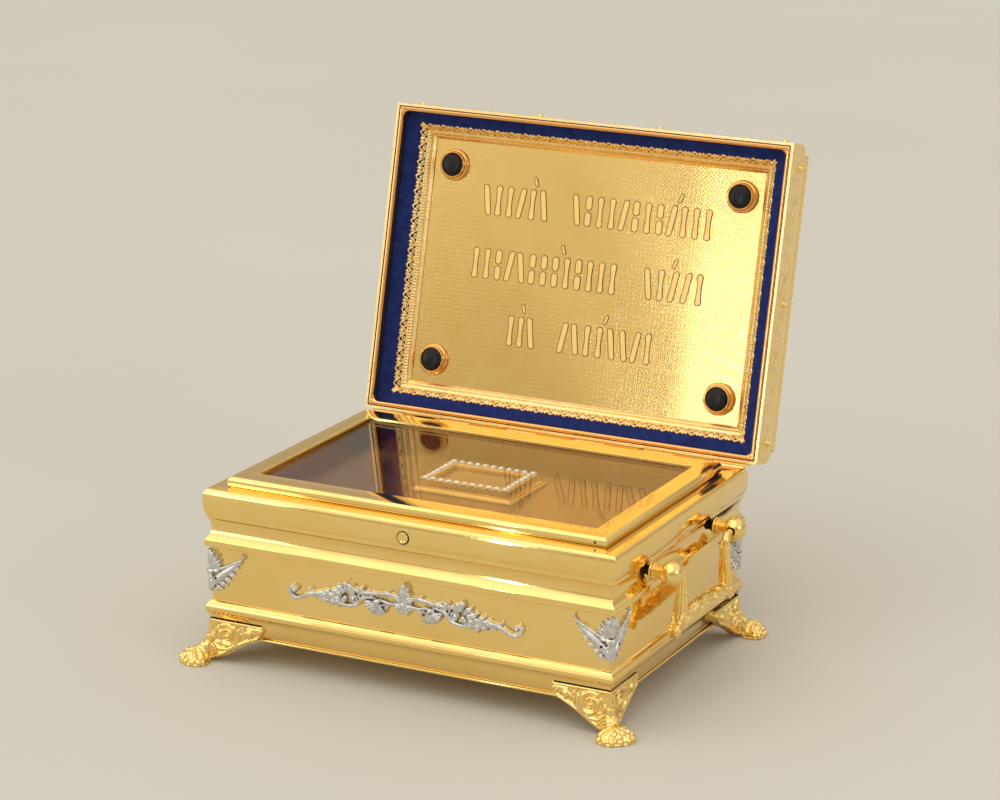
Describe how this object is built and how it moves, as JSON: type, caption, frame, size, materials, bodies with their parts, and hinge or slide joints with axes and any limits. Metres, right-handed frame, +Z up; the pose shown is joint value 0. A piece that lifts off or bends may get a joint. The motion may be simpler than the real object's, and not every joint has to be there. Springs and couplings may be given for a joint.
{
  "type": "reliquary casket",
  "caption": "Gilt footed reliquary casket with an open velvet-lined lid, silver mounts, bail handles, and a stone-rimmed relic capsule under glass.",
  "frame": {"origin": "on the floor under the middle of the outline, with the lid open on its stop", "axes": "+X to the right along the long front, +Y to the back, where the lid is hinged, +Z up"},
  "size_m": [0.3484, 0.3274, 0.3385],
  "materials": {
    "polished_gold": "polished gilt",
    "cast_gold": "burnished cast gilt",
    "engraved_gold": "chased and stippled gilt",
    "tray_gold": "satin gilt",
    "silver": "rhodium plated cast relief",
    "velvet": "deep blue velvet",
    "glass": "clear polished",
    "black_dome": "glossy black"
  },
  "bodies": {
    "casket": {"casket_body": "polished_gold", "base_plate": "polished_gold", "foot_front_right": "cast_gold", "foot_front_left": "cast_gold", "foot_back_right": "cast_gold", "foot_back_left": "cast_gold", "corner_mount_front_right": "silver", "corner_mount_front_left": "silver", "corner_mount_back_right": "silver", "corner_mount_back_left": "silver", "front_garland": "silver", "lock_plate": "polished_gold", "relic_tray": "tray_gold", "glass_frame": "polished_gold", "glass_pane": "glass", "relic_capsule": "cast_gold", "handle_post_front_right": "polished_gold", "handle_post_front_left": "polished_gold", "handle_post_back_right": "polished_gold", "handle_post_back_left": "polished_gold", "hinge_leaf_body": "polished_gold", "hinge_pin": "polished_gold"},
    "lid": {"lid_shell": "engraved_gold", "lid_rim": "polished_gold", "lid_liner": "velvet", "lid_border": "engraved_gold", "lid_plate": "engraved_gold", "buffer_cup_back_left": "polished_gold", "buffer_dome_back_left": "black_dome", "buffer_cup_back_right": "polished_gold", "buffer_dome_back_right": "black_dome", "buffer_cup_front_left": "polished_gold", "buffer_dome_front_left": "black_dome", "buffer_cup_front_right": "polished_gold", "buffer_dome_front_right": "black_dome", "lid_top_strip_right": "engraved_gold", "lid_top_strip_left": "engraved_gold", "lid_top_strip_front": "engraved_gold", "lid_top_strip_back": "engraved_gold", "lid_stud_front_1": "polished_gold", "lid_stud_front_2": "polished_gold", "lid_stud_front_3": "polished_gold", "lid_stud_front_4": "polished_gold", "lid_stud_right_1": "polished_gold", "lid_stud_right_2": "polished_gold", "lid_stud_right_3": "polished_gold", "lid_stud_left_1": "polished_gold", "lid_stud_left_2": "polished_gold", "lid_stud_left_3": "polished_gold", "hinge_leaf_lid": "polished_gold"},
    "bail_right": {"bail_right": "cast_gold"},
    "bail_left": {"bail_left": "cast_gold"}
  },
  "joints": [
    {"name": "lid_hinge", "type": "hinge", "parent": "casket", "child": "lid", "pos_m": [0, 0.07866, 0.11817], "axis": [1, 0, 0], "range_deg": [0, 102.84]},
    {"name": "bail_right_hinge", "type": "hinge", "parent": "casket", "child": "bail_right", "pos_m": [0.166, -0.0368, 0.0959], "axis": [0, -1, 0], "range_deg": [-14, 180]},
    {"name": "bail_left_hinge", "type": "hinge", "parent": "casket", "child": "bail_left", "pos_m": [-0.166, -0.0368, 0.0959], "axis": [0, 1, 0], "range_deg": [-14, 180]}
  ]
}
